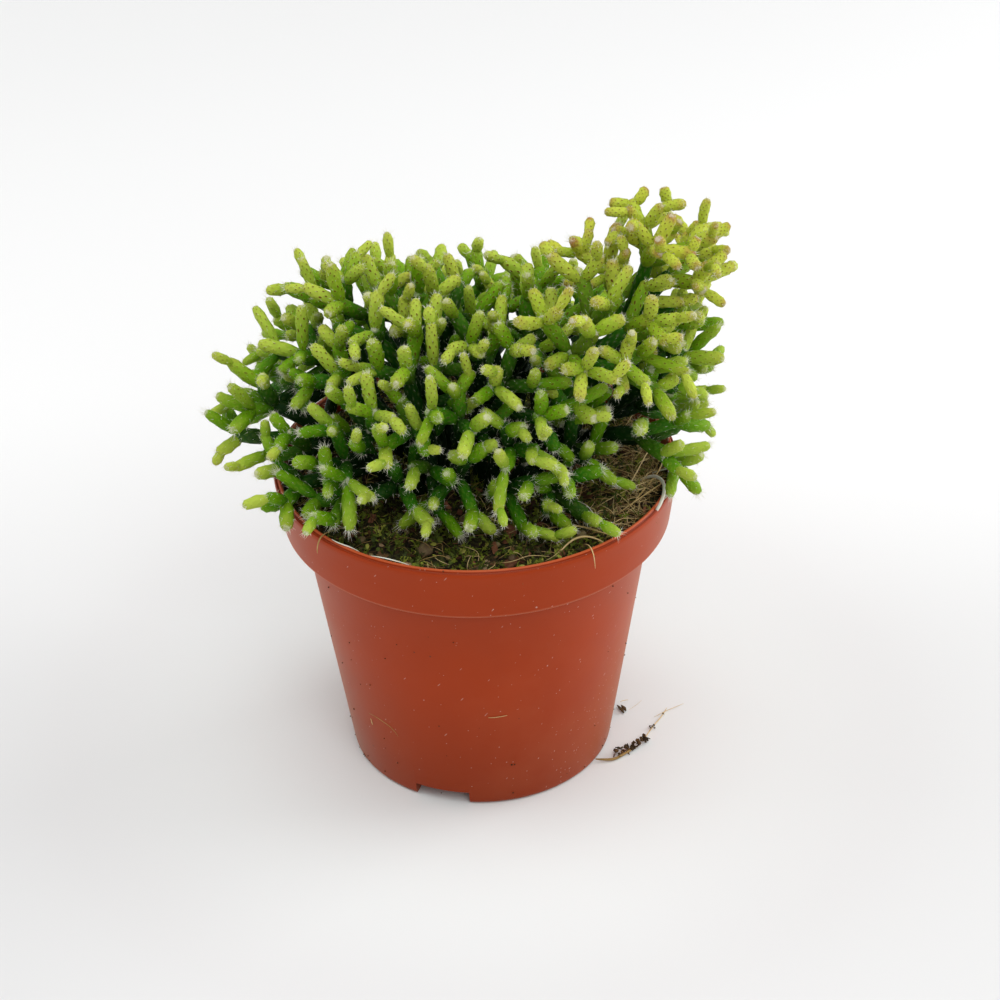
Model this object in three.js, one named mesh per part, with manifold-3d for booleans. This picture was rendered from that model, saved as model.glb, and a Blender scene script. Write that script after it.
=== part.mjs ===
// Potted rhipsalis: a thin plastic nursery pot filled with peat, and a dense, low
// shrublet of short round shoots that grows out of it. Millimetres, +Z up. The
// origin is the centre of the pot's foot, on the ground, with the front at -Y.
import * as THREE from 'three';
import { mergeVertices } from 'three/addons/utils/BufferGeometryUtils.js';
import Module from 'manifold-3d';

const wasm = await Module();
wasm.setup();

// Pot
const POT_HEIGHT = 99;
const RIM_RADIUS = 60;
const BAND_HEIGHT = 17;
const BAND_FOOT_RADIUS = 58;
const BODY_TOP_RADIUS = 52.5;
const FOOT_RADIUS = 40.5;
const WALL = 1.2;
const FLOOR = 4.4;
const POT_SIDES = 48;
const HUB_RADIUS = 12;
const FOOT_RING_INSIDE = 30;
const RELIEF = 3;
const NOTCH_WIDTH = 17;
const NOTCH_ANGLES = [-108, 12, 132];
const DRAIN_RADIUS = 4;
const DRAIN_CIRCLE = 21;
const DRAIN_COUNT = 6;

// Soil
const GAP = 0.3;
const SOIL_LEVEL = 95;
const SOIL_HOLLOW = 1.4;
const SOIL_RINGS = 5;
const SOIL_SIDES = 32;
const ROOTED = 8;

// Shoots
const SHOOT_SIDES = 4;
const TRUNK_RADIUS = 2.8;
const BOUGH_RADIUS = 2.5;
const SEGMENT_LENGTH = 28;
const ARM = { radius: 2.5, length: 13, lean: 1 };
const TIP = { radius: 2.3, length: 11, lean: 1.05 };
const ARMS_PER_BOUGH = 3;
const LONE_TIP_SHARE = 0.35;
const SUNK = 1.1;
const CLEARANCE = 0.45;
const BEAD_STEP = 2.4;
const LOWEST = 72;
const REACH = 24;
const SEED = 46;
const CROWN = new THREE.Vector3(-2, 8, 108);
const FOOT_SHARE = 0.42;

// Each stem: its name, how far over the soil it forks, and where its boughs end.
const STEMS = [
  ['left_edge', 14, [[-60, 0, 120], [-50, -12, 110]]],
  ['left_upper', 20, [[-47, 8, 131], [-38, 18, 141]]],
  ['left_low', 12, [[-52, -20, 104], [-38, -24, 114]]],
  ['left_front', 8, [[-39, -30, 106], [-22, -31, 111]]],
  ['front_left', 18, [[-30, -24, 124], [-38, -9, 133]]],
  ['front_a', 22, [[-18, -28, 127], [-19, -17, 139], [-13, -31, 114]]],
  ['front_b', 18, [[-4, -30, 132], [-5, -33, 113]]],
  ['front_c', 14, [[11, -30, 122], [9, -31, 107]]],
  ['front_d', 28, [[9, -22, 138], [2, -10, 142], [20, -27, 128]]],
  ['front_right', 8, [[23, -28, 105], [29, -16, 112]]],
  ['mid_left', 28, [[-28, 0, 141], [-10, -12, 140]]],
  ['right_star', 46, [[27, -22, 147], [35, -8, 151], [46, -8, 148], [43, -20, 140]]],
  ['right_tall', 42, [[50, 2, 151], [51, 6, 162], [57, 8, 156]]],
  ['right_arm', 20, [[52, -8, 130], [57, 8, 132]]],
  ['right_droop', 16, [[48, -17, 117], [52, -9, 110]]],
  ['top_left', 30, [[-31, 13, 143], [-18, 4, 142]]],
  ['top_mid', 28, [[-20, 20, 139], [-7, 13, 140]]],
  ['top_right', 28, [[4, 10, 137], [21, 13, 136], [17, 0, 140]]],
  ['back_left', 20, [[-42, 32, 124], [-53, 22, 111]]],
  ['back_low', 12, [[-36, 45, 108], [-15, 54, 110]]],
  ['back_a', 24, [[-25, 35, 129], [-5, 38, 130]]],
  ['back_b', 16, [[0, 47, 121], [11, 55, 110]]],
  ['back_c', 24, [[17, 35, 128], [33, 32, 126]]],
  ['back_right', 16, [[34, 45, 112], [50, 26, 114]]],
];

const plastic = new THREE.MeshStandardMaterial({ color: 0xa34a2c, roughness: 0.42, metalness: 0 });
const peat = new THREE.MeshStandardMaterial({ color: 0x3a2b1c, roughness: 0.97, metalness: 0 });
const skin = new THREE.MeshStandardMaterial({ color: 0x6d8b2c, roughness: 0.6, metalness: 0 });

// A closed geometry as a solid: seams joined and triangles without area left out.
function solid(geometry) {
  const bare = geometry.clone();
  bare.deleteAttribute('normal');
  bare.deleteAttribute('uv');
  const joined = mergeVertices(bare, 1e-4);
  const corners = Array.from(joined.index.array);
  const kept = [];
  for (let i = 0; i < corners.length; i += 3) {
    const [a, b, c] = corners.slice(i, i + 3);
    if (a !== b && b !== c && c !== a) {
      kept.push(a, b, c);
    }
  }
  return new wasm.Manifold(new wasm.Mesh({
    numProp: 3,
    vertProperties: new Float32Array(joined.attributes.position.array),
    triVerts: new Uint32Array(kept),
  }));
}

function meshOf(name, shape, material) {
  const { vertProperties, triVerts } = shape.getMesh();
  const geometry = new THREE.BufferGeometry();
  geometry.setAttribute('position', new THREE.BufferAttribute(vertProperties, 3));
  geometry.setIndex(new THREE.BufferAttribute(triVerts, 1));
  geometry.computeVertexNormals();
  const mesh = new THREE.Mesh(geometry, material.clone());
  mesh.name = name;
  return mesh;
}

// A round body about the Z axis, from its profile of [radius, height] points.
function turned(profile, sides) {
  const points = profile.map(([r, z]) => new THREE.Vector2(r, z));
  return new THREE.LatheGeometry(points, sides).rotateX(Math.PI / 2);
}

// The pot: foot ring with three notches, raised floor with drains, plain rim band.
function buildPot() {
  const bandFoot = POT_HEIGHT - BAND_HEIGHT;
  const profile = [
    [0, 0],
    [HUB_RADIUS, 0],
    [HUB_RADIUS + 1, RELIEF],
    [FOOT_RING_INSIDE - 1, RELIEF],
    [FOOT_RING_INSIDE, 0],
    [FOOT_RADIUS - 1.2, 0],
    [FOOT_RADIUS, 1.6],
    [BODY_TOP_RADIUS, bandFoot - 0.6],
    [BAND_FOOT_RADIUS - 0.5, bandFoot],
    [BAND_FOOT_RADIUS, bandFoot + 0.8],
    [RIM_RADIUS, POT_HEIGHT - 1.2],
    [RIM_RADIUS - 0.5, POT_HEIGHT],
    [RIM_RADIUS - 1.6, POT_HEIGHT],
    [BAND_FOOT_RADIUS - WALL, bandFoot + 1.6],
    [BODY_TOP_RADIUS - WALL, bandFoot + 1],
    [FOOT_RADIUS - WALL, FLOOR],
    [0, FLOOR],
  ];
  let pot = solid(turned(profile, POT_SIDES));
  for (const angle of NOTCH_ANGLES) {
    const notch = new THREE.BoxGeometry(16, NOTCH_WIDTH, 2 * RELIEF);
    notch.translate(FOOT_RING_INSIDE + 7, 0, 0);
    notch.rotateZ(THREE.MathUtils.degToRad(angle));
    pot = pot.subtract(solid(notch));
  }
  for (let i = 0; i < DRAIN_COUNT; i += 1) {
    const drain = new THREE.CylinderGeometry(DRAIN_RADIUS, DRAIN_RADIUS, 8, 12).rotateX(Math.PI / 2);
    drain.translate(DRAIN_CIRCLE, 0, FLOOR);
    drain.rotateZ(2 * Math.PI * (i + 0.5) / DRAIN_COUNT);
    pot = pot.subtract(solid(drain));
  }
  return pot;
}

// How far the peat's lumpy top stands over its mean level at a point.
function soilLump(x, y) {
  return 0.8 * Math.sin(0.21 * x + 1.1) * Math.cos(0.17 * y - 0.6) + 0.5 * Math.sin(0.33 * x - 0.27 * y);
}

// The peat fills the pot and has a plain hole for the foot of each stem.
function buildSoil(feet) {
  const bandFoot = POT_HEIGHT - BAND_HEIGHT;
  const inset = WALL + GAP;
  const edge = BAND_FOOT_RADIUS - inset + 0.9;
  const top = SOIL_LEVEL - SOIL_HOLLOW;
  const profile = [
    [0, FLOOR + GAP],
    [FOOT_RADIUS - inset, FLOOR + GAP],
    [BODY_TOP_RADIUS - inset, bandFoot + 1 + GAP],
    [BAND_FOOT_RADIUS - inset - GAP, bandFoot + 1.6 + GAP],
  ];
  for (let k = SOIL_RINGS; k >= 0; k -= 1) {
    profile.push([edge * k / SOIL_RINGS, top]);
  }
  const body = turned(profile, SOIL_SIDES);
  const points = body.attributes.position;
  for (let i = 0; i < points.count; i += 1) {
    if (points.getZ(i) > top - 1) {
      points.setZ(i, top + soilLump(points.getX(i), points.getY(i)));
    }
  }
  return feet.reduce((soil, foot) => soil.subtract(shootSolid(foot, GAP)), solid(body));
}

// One shoot from a to b, drawn in at both ends. An ease makes it larger all round.
function shootSolid({ a, b, r }, ease = 0) {
  const along = b.clone().sub(a);
  const length = along.length() + 4 * ease;
  const wide = r + ease / Math.cos(Math.PI / SHOOT_SIDES);
  const profile = [[0, 0], [0.9 * wide, 1.4 * wide], [wide, length - 0.95 * wide], [0, length]];
  const points = profile.map(([x, y]) => new THREE.Vector2(x, y));
  const geometry = new THREE.LatheGeometry(points, SHOOT_SIDES);
  along.normalize();
  geometry.applyQuaternion(new THREE.Quaternion().setFromUnitVectors(new THREE.Vector3(0, 1, 0), along));
  const start = a.clone().addScaledVector(along, -2 * ease);
  geometry.translate(start.x, start.y, start.z);
  return solid(geometry);
}

// Repeatable draws from one seed.
let state = SEED;
function draw(low, high) {
  state = (state * 1664525 + 1013904223) % 4294967296;
  return low + (high - low) * state / 4294967296;
}

function jitter(by) {
  const x = draw(-by, by);
  const y = draw(-by, by);
  const z = draw(-by, by);
  return new THREE.Vector3(x, y, z);
}

// The growth keeps every shoot as a row of beads, to find what room is left.
const shoots = [];
const beads = [];

function beadsOf(a, b, r) {
  const count = Math.max(3, Math.ceil(a.distanceTo(b) / BEAD_STEP));
  const row = [];
  for (let k = 0; k < count; k += 1) {
    row.push({ at: a.clone().lerp(b, 0.14 + 0.78 * k / (count - 1)), r });
  }
  return row;
}

// Over the soil, over the rim, or outside the pot and above its waist.
function clearOfPot(row) {
  return row.every(({ at, r }) => {
    const away = Math.hypot(at.x, at.y);
    if (away < RIM_RADIUS - 8) {
      return at.z >= SOIL_LEVEL + r + 1;
    }
    if (away < RIM_RADIUS + r + 1) {
      return at.z >= POT_HEIGHT + r + 0.6;
    }
    return at.z >= LOWEST;
  });
}

// Free distance around a row of beads, and around the bead at its tip.
function roomAround(row, kin) {
  let least = REACH;
  let tip = REACH;
  const last = row[row.length - 1];
  for (const bead of beads) {
    if (kin.includes(bead.owner)) {
      continue;
    }
    for (const own of row) {
      const free = own.at.distanceTo(bead.at) - own.r - bead.r;
      least = Math.min(least, free);
      if (own === last) {
        tip = Math.min(tip, free);
      }
    }
  }
  return { least, tip };
}

function addShoot(a, b, r, stem, parent) {
  const index = shoots.length;
  shoots.push({ a, b, r, stem, kids: [] });
  if (parent >= 0) {
    shoots[parent].kids.push(index);
  }
  for (const bead of beadsOf(a, b, r)) {
    beads.push({ ...bead, owner: index });
  }
  return index;
}

function directionOf({ a, b }) {
  return b.clone().sub(a).normalize();
}

// The point inside the tip of a shoot from a to b where what grows out of it starts.
function insideTip(a, b, r) {
  return b.clone().addScaledVector(directionOf({ a, b }), -SUNK * r);
}

// A bough from a to near b, in segments along a rising bow, bent until it is clear.
// Each segment starts a little inside the one before, so the two hold together.
function growBough(stem, a, b, r, parent, kin) {
  for (let attempt = 0; attempt < 80; attempt += 1) {
    const stray = Math.min(8, attempt * 0.12);
    const end = b.clone().add(jitter(stray).multiplyScalar(0.5));
    const bow = a.clone().lerp(end, 0.35);
    bow.z = a.z + (end.z - a.z) * 0.6 + 4;
    bow.add(jitter(stray));
    const curve = new THREE.QuadraticBezierCurve3(a, bow, end);
    const count = Math.max(1, Math.round(a.distanceTo(end) / SEGMENT_LENGTH + 0.15));
    const joints = curve.getPoints(count);
    const segments = joints.slice(1).map((joint, k) => {
      const from = k === 0 ? a : insideTip(joints[k - 1], joints[k], r);
      return [from, joint];
    });
    const clear = segments.every(([from, to], k) => {
      const row = beadsOf(from, to, r);
      const buried = parent < 0 && k === 0;
      return (buried || clearOfPot(row)) && roomAround(row, kin).least >= CLEARANCE;
    });
    if (clear) {
      let last = parent;
      return segments.map(([from, to]) => {
        last = addShoot(from, to, r, stem, last);
        return last;
      });
    }
  }
  return [];
}

// A direction leaned off an axis, then turned about it.
function leaned(axis, lean, turn) {
  const side = Math.abs(axis.z) < 0.9 ? new THREE.Vector3(0, 0, 1) : new THREE.Vector3(1, 0, 0);
  const across = new THREE.Vector3().crossVectors(axis, side).normalize();
  const beside = new THREE.Vector3().crossVectors(axis, across);
  return axis.clone().multiplyScalar(Math.cos(lean))
    .addScaledVector(across, Math.sin(lean) * Math.cos(turn))
    .addScaledVector(beside, Math.sin(lean) * Math.sin(turn));
}

// Shoots in a whorl round the tip of their parent, each where it finds the most room.
function growWhorl(parent, count, { radius, length, lean }) {
  const base = shoots[parent];
  const axis = directionOf(base);
  const root = insideTip(base.a, base.b, radius);
  const outward = root.clone().sub(CROWN).normalize();
  const first = draw(0, 2 * Math.PI);
  const grown = [];
  for (let i = 0; i < count; i += 1) {
    let best = null;
    for (let attempt = 0; attempt < 9; attempt += 1) {
      const turn = first + 2 * Math.PI * i / count + draw(-0.45, 0.45);
      const leanBy = lean * draw(0.72, 1.22);
      const long = length * draw(0.7, 1.25);
      const r = radius * draw(0.9, 1.06);
      const way = leaned(axis, leanBy, turn).addScaledVector(outward, 0.22);
      way.z += 0.1;
      way.normalize();
      const crowded = base.kids.some((kid) => directionOf(shoots[kid]).dot(way) > 0.6);
      const end = root.clone().addScaledVector(way, long);
      const row = beadsOf(root, end, r);
      if (way.dot(axis) < -0.1 || crowded || !clearOfPot(row)) {
        continue;
      }
      const { least, tip } = roomAround(row, [parent, ...base.kids]);
      const score = Math.min(tip, 7) + 2 * way.dot(outward);
      if (least >= CLEARANCE && (best === null || score > best.score)) {
        best = { score, end, r };
      }
    }
    if (best !== null) {
      grown.push(addShoot(root, best.end, best.r, base.stem, parent));
    }
  }
  return grown;
}

// A trunk that leaves the soil between the crown and its boughs, and forks into them.
function growStem([stem, forkRise, goals]) {
  const heads = goals.map((goal) => new THREE.Vector3(...goal));
  const middle = new THREE.Vector3();
  heads.forEach((head) => middle.addScaledVector(head, 1 / heads.length));
  let trunk = [];
  for (let attempt = 0; attempt < 40 && trunk.length === 0; attempt += 1) {
    const foot = CROWN.clone().lerp(middle, FOOT_SHARE).add(jitter(attempt * 0.25));
    foot.z = SOIL_LEVEL - ROOTED;
    const fork = foot.clone().lerp(middle, 0.25 + 0.011 * forkRise);
    fork.z = SOIL_LEVEL + forkRise;
    trunk = growBough(stem, foot, fork, TRUNK_RADIUS, -1, []);
  }
  const top = trunk[trunk.length - 1];
  const from = insideTip(shoots[top].a, shoots[top].b, TRUNK_RADIUS);
  const kin = [top];
  const ends = [];
  for (const head of heads) {
    const bough = growBough(stem, from, head, BOUGH_RADIUS, top, kin);
    if (bough.length > 0) {
      kin.push(bough[0]);
      ends.push(bough[bough.length - 1]);
    }
  }
  return ends;
}

const ends = STEMS.flatMap(growStem);
const arms = ends.flatMap((end) => growWhorl(end, ARMS_PER_BOUGH, ARM));
for (const arm of arms) {
  growWhorl(arm, draw(0, 1) < LONE_TIP_SHARE ? 1 : 2, TIP);
}

const stems = STEMS.map(([name]) => shoots.filter((shoot) => shoot.stem === name));
const group = new THREE.Group();
group.name = 'potted_rhipsalis';
group.add(meshOf('pot', buildPot(), plastic));
group.add(meshOf('soil', buildSoil(stems.map(([foot]) => foot)), peat));
for (const own of stems) {
  const parts = own.map((shoot) => shootSolid(shoot));
  const shape = parts.reduce((whole, part) => whole.add(part));
  group.add(meshOf(`stem_${own[0].stem}`, shape, skin));
}

export default group;
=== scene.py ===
"""A potted rhipsalis: a plastic nursery pot of mossy peat, and a dense low shrublet of bristly shoots."""

import math
import random

import bpy
import numpy as np
from mathutils import Matrix, Vector
from mathutils.bvhtree import BVHTree


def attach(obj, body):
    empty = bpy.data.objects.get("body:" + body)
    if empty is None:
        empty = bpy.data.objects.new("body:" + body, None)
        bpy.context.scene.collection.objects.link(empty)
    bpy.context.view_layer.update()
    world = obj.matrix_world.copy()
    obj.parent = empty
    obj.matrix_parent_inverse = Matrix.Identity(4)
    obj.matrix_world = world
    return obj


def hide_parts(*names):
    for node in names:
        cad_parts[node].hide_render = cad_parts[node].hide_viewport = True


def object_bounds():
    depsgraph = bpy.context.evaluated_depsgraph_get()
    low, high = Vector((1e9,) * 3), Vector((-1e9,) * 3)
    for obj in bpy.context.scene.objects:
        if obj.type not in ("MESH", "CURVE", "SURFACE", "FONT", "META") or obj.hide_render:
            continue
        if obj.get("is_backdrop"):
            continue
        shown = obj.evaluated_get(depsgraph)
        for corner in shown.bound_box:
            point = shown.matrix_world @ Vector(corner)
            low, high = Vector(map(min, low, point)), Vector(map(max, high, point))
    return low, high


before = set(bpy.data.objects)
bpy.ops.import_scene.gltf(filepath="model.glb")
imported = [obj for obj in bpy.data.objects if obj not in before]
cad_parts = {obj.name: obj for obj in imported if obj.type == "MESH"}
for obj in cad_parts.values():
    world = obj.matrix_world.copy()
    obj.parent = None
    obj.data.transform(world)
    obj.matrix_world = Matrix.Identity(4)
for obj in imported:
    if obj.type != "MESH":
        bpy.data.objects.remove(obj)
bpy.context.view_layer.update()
MM = 0.001


# The pot: one injection moulding in thin terracotta-coloured plastic, with a plain band
# round the rim, a rolled lip, a raised floor with six drains and a foot ring with three
# notches. Its sides carry dust, white specks and scuffs from the nursery bench. Its colour
# also has painted highlights on the lip and the band's lower edge, and painted shade in the
# lip's groove, under the band and towards the foot.
class Value:
    """A shader socket that Python's arithmetic works on."""

    def __init__(self, finish, socket):
        self.finish = finish
        self.socket = socket

    def maths(self, operation, first, second):
        return self.finish.node("ShaderNodeMath", {"operation": operation}, {0: first, 1: second})

    def __add__(self, other):
        return self.maths("ADD", self, other)

    def __radd__(self, other):
        return self.maths("ADD", other, self)

    def __sub__(self, other):
        return self.maths("SUBTRACT", self, other)

    def __rsub__(self, other):
        return self.maths("SUBTRACT", other, self)

    def __mul__(self, other):
        return self.maths("MULTIPLY", self, other)

    def __rmul__(self, other):
        return self.maths("MULTIPLY", other, self)

    def __gt__(self, other):
        return self.maths("GREATER_THAN", self, other)

    def __lt__(self, other):
        return self.maths("LESS_THAN", self, other)

    def __pow__(self, other):
        return self.maths("POWER", self, other)


class Finish:
    """A material, its nodes, and the sockets of its shader that are the same all over."""

    def __init__(self, name, constants):
        self.material = bpy.data.materials.new(name)
        self.material.use_nodes = True
        self.tree = self.material.node_tree
        self.shader = self.tree.nodes["Principled BSDF"]
        for socket, constant in constants.items():
            self.shader.inputs[socket].default_value = constant

    def node(self, kind, settings, sockets, out=0):
        made = self.tree.nodes.new(kind)
        for name, setting in settings.items():
            if name == "stops":
                stops = made.color_ramp.elements
                stops[0].position, stops[0].color = setting[0][0], (*setting[0][1], 1)
                stops[1].position, stops[1].color = setting[-1][0], (*setting[-1][1], 1)
                for place, colour in setting[1:-1]:
                    stops.new(place).color = (*colour, 1)
            else:
                setattr(made, name, setting)
        for name, value in sockets.items():
            if isinstance(value, Value):
                self.tree.links.new(value.socket, made.inputs[name])
            else:
                made.inputs[name].default_value = value
        return Value(self, made.outputs[out])

    def place(self):
        return self.node("ShaderNodeTexCoord", {}, {}, "Object")

    def kept(self, name):
        return self.node("ShaderNodeAttribute", {"attribute_name": name}, {}, "Fac")

    def noise(self, place, scale, detail=2.0, rough=0.5):
        sockets = {"Vector": place, "Scale": scale, "Detail": detail, "Roughness": rough}
        return self.node("ShaderNodeTexNoise", {}, sockets)

    def stretched(self, place, scales):
        return self.node("ShaderNodeMapping", {}, {"Vector": place, "Scale": scales})

    def tilted(self, place, sizes, turn):
        """Coordinates for a pattern whose cells have these sizes in metres, along turned axes."""
        sockets = {"Vector": place, "Rotation": turn, "Scale": sizes}
        return self.node("ShaderNodeMapping", {"vector_type": "TEXTURE"}, sockets)

    def dots(self, place, radius, share):
        """Small dots at the centres of a share of the cells of a pattern, one unit wide."""
        sockets = {"Vector": place, "Scale": 1.0}
        apart = self.node("ShaderNodeTexVoronoi", {}, sockets, "Distance")
        chance = self.node("ShaderNodeTexVoronoi", {}, sockets, "Color")
        chance = self.node("ShaderNodeSeparateColor", {}, {"Color": chance}, 0)
        return (1 - self.between(apart, radius * 0.4, radius)) * (share > chance)

    def between(self, value, low, high):
        settings = {"interpolation_type": "SMOOTHSTEP"}
        sockets = {"Value": value, "From Min": low, "From Max": high}
        return self.node("ShaderNodeMapRange", settings, sockets)

    def ramp(self, value, stops):
        return self.node("ShaderNodeValToRGB", {"stops": stops}, {"Fac": value})

    def mixed(self, share, first, second):
        first, second = [c if isinstance(c, Value) else (*c, 1) for c in (first, second)]
        return self.node("ShaderNodeMix", {"data_type": "RGBA"}, {0: share, 6: first, 7: second}, 2)

    def bump(self, height, strength, distance):
        sockets = {"Strength": strength, "Distance": distance, "Height": height}
        return self.node("ShaderNodeBump", {}, sockets)

    def feed(self, **links):
        for name, value in links.items():
            self.tree.links.new(value.socket, self.shader.inputs[name.replace("_", " ")])


def only(*pieces):
    """Selects these pieces and nothing else, the first as the active one."""
    bpy.ops.object.select_all(action="DESELECT")
    for piece in pieces:
        piece.select_set(True)
    bpy.context.view_layer.objects.active = pieces[0]


def turned(name, profile, sides):
    """A closed round body: a filled ring drawn along a profile of radii and heights in mm."""
    radius, height = profile[0]
    bpy.ops.object.select_all(action="DESELECT")
    ring = {"vertices": sides, "radius": radius * MM, "fill_type": "NGON", "location": (0, 0, height * MM)}
    bpy.ops.mesh.primitive_circle_add(**ring)
    piece = bpy.context.object
    piece.name = name
    bpy.ops.object.mode_set(mode="EDIT")
    for (inner, low), (outer, high) in zip(profile, profile[1:]):
        bpy.ops.mesh.extrude_region_move(TRANSFORM_OT_translate={"value": (0, 0, (high - low) * MM)})
        grow = outer / inner
        bpy.ops.transform.resize(value=(grow, grow, 1), center_override=(0, 0, high * MM))
    bpy.ops.mesh.select_all(action="SELECT")
    bpy.ops.mesh.normals_make_consistent(inside=False)
    bpy.ops.object.mode_set(mode="OBJECT")
    bpy.ops.object.transform_apply(location=True, rotation=True, scale=True)
    return piece


def cut(piece, cutter):
    """Takes the cutter out of the piece."""
    only(piece)
    opening = piece.modifiers.new("opening", "BOOLEAN")
    opening.operation = "DIFFERENCE"
    opening.object = cutter
    bpy.ops.object.modifier_apply(modifier=opening.name)
    bpy.data.objects.remove(cutter)


POT_HEIGHT = 99
RIM_RADIUS = 60
FOOT_RADIUS = 40.5
POT_SIDES = 144
POT_PROFILE = [
    (11.7, 0), (12.1, 0.2), (12.9, 4.6), (13.3, 4.8), (28.6, 4.8), (29.1, 4.6), (29.9, 0.2), (30.3, 0),
    (38.9, 0), (39.8, 0.25), (40.3, 0.8), (FOOT_RADIUS, 1.7), (43.4, 21), (46.4, 41), (49.4, 61),
    (52.3, 80.2), (52.6, 81), (53.3, 81.3), (56.9, 81.8), (57.6, 82), (57.95, 82.35), (58.05, 83),
    (58.9, 89.5), (59.75, 96), (59.95, 96.9), (RIM_RADIUS, 97.7), (59.9, 98.2), (59.6, 98.45),
    (59.25, 98.3), (59.05, 98.5), (58.95, 98.8), (58.65, POT_HEIGHT), (58.25, 98.9), (57.95, 98.45),
    (57.85, 97.8), (57.3, 90), (56.75, 83.7), (56.2, 83.2), (51.5, 83), (51.1, 82.4), (45.2, 43),
    (39.8, 7), (39.2, 6.4), (14, 6.4),
]
NOTCH_WIDTH = 17
NOTCH_HEIGHT = 4.7
NOTCH_LENGTH = 16
NOTCH_CIRCLE = 37
NOTCH_ANGLES = (-108, 12, 132)
DRAIN_RADIUS = 4
DRAIN_CIRCLE = 21
DRAIN_COUNT = 6
POT_FLOOR = 5.6
DRILL_LENGTH = 8
CREASE = math.radians(38)

pot = turned("nursery_pot", POT_PROFILE, POT_SIDES)
for angle in NOTCH_ANGLES:
    turn = math.radians(angle)
    at = (NOTCH_CIRCLE * MM * math.cos(turn), NOTCH_CIRCLE * MM * math.sin(turn), 0)
    size = (NOTCH_LENGTH * MM, NOTCH_WIDTH * MM, 2 * NOTCH_HEIGHT * MM)
    bpy.ops.object.select_all(action="DESELECT")
    bpy.ops.mesh.primitive_cube_add(size=1, location=at, rotation=(0, 0, turn), scale=size)
    cut(pot, bpy.context.object)
for count in range(DRAIN_COUNT):
    turn = math.tau * (count + 0.5) / DRAIN_COUNT
    at = (DRAIN_CIRCLE * MM * math.cos(turn), DRAIN_CIRCLE * MM * math.sin(turn), POT_FLOOR * MM)
    bpy.ops.object.select_all(action="DESELECT")
    drill = {"vertices": 32, "radius": DRAIN_RADIUS * MM, "depth": DRILL_LENGTH * MM, "location": at}
    bpy.ops.mesh.primitive_cylinder_add(**drill)
    cut(pot, bpy.context.object)
only(pot)
bpy.ops.object.shade_smooth_by_angle(angle=CREASE)

TERRACOTTA = (0.322, 0.032, 0.001), (0.408, 0.042, 0.002)
DUST = (0.78, 0.64, 0.56)
bloom = {"Sheen Weight": 0.12, "Sheen Roughness": 0.36, "Sheen Tint": (0.92, 1.0, 0.66, 1)}
plastic = Finish("terracotta_plastic", {"IOR": 1.47, "Specular IOR Level": 0.15, **bloom})
where = plastic.place()
height = plastic.node("ShaderNodeSeparateXYZ", {}, {"Vector": where}, "Z")
side = plastic.node("ShaderNodeSeparateXYZ", {}, {"Vector": where}, "X")
cloud = plastic.noise(where, 34, 3)
fine = plastic.noise(where, 420, 3)
colour = plastic.mixed(cloud, *TERRACOTTA)
# Painted highlight: the crest of the rolled lip is coloured lighter and more orange, where light falls on
# its top.
lip_painted_highlight = plastic.between(height, 0.0985, 0.0988)
colour = plastic.mixed(lip_painted_highlight * 0.75, colour, (0.520, 0.105, 0.032))
# Painted shade: a darker line in the groove inside the lip, where shade falls.
groove_painted_shade = plastic.between(height, 0.0980, 0.0983) * (1 - lip_painted_highlight)
colour = plastic.mixed(groove_painted_shade * 0.55, colour, (0.17, 0.016, 0.002))
# Painted highlight: a lighter orange line along the rounded lower edge of the rim band, standing in for its
# reflection.
edge = plastic.between(height, 0.0820, 0.0823) * (1 - plastic.between(height, 0.0824, 0.0830))
colour = plastic.mixed(edge * 0.26, colour, (0.66, 0.20, 0.09))
# Painted shade: the wall just under the band is darkened, where the band's overhang shades it.
painted_shade_under_band = plastic.between(height, 0.0755, 0.0800) * (height < 0.0815)
colour = plastic.mixed(painted_shade_under_band * 0.3, colour, (0.20, 0.018, 0.001))
# Painted shade: the wall is darkened towards the foot.
low = 1 - plastic.between(height, 0.0, 0.055)
colour = plastic.mixed(low * 0.6, colour, (0.215, 0.024, 0.002))
film = plastic.between(plastic.noise(where, 22, 4, 0.65), 0.42, 0.72)
film = film * (0.35 + plastic.between(side, -0.02, 0.05)) * plastic.between(0.1 - height, -0.02, 0.09)
colour = plastic.mixed(film * 0.08, colour, (0.62, 0.27, 0.15))
specks = plastic.dots(plastic.stretched(where, (760, 760, 760)), 0.16, 0.03 + film * 0.4)
chips = plastic.dots(plastic.stretched(where, (300, 300, 300)), 0.12, 0.01 + film * 0.06)
leaning = plastic.tilted(where, (0.0011, 0.0011, 0.006), (0.5, 0.5, 0.4))
scuffs = plastic.dots(leaning, 0.17, 0.05 + film * 0.3)
leaning = plastic.tilted(where, (0.0014, 0.0014, 0.0055), (-0.7, 1.0, 0.2))
nicks = plastic.dots(leaning, 0.15, 0.03 + film * 0.24)
worn = specks * 0.4 + chips * 0.5 + scuffs * 0.35 + nicks * 0.4
colour = plastic.mixed(worn, colour, DUST)
grit = plastic.dots(plastic.stretched(where, (210, 210, 210)), 0.09, 0.05)
colour = plastic.mixed(grit * 0.8, colour, (0.05, 0.022, 0.012))
gloss = 0.35 + cloud * 0.10 + film * 0.14 + worn * 0.3
grain = plastic.bump(fine + worn * 0.8, 0.12, 0.00015)
plastic.feed(Base_Color=colour, Roughness=gloss, Normal=grain)
pot.data.materials.append(plastic.material)
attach(pot, "root")
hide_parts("pot")


# The root ball: dark, damp peat that fills the pot to just under the lip, with a lumpy,
# crumbling top. It was poured in and has settled, a little lower along the wall.
SOIL_TOP = 93.6
SOIL_SIDES = 176
SOIL_EDGE = 57.1
LUMPS = (4.4, 7.0, "ORIGINAL_PERLIN"), (2.6, 1.9, "IMPROVED_PERLIN")


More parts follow.
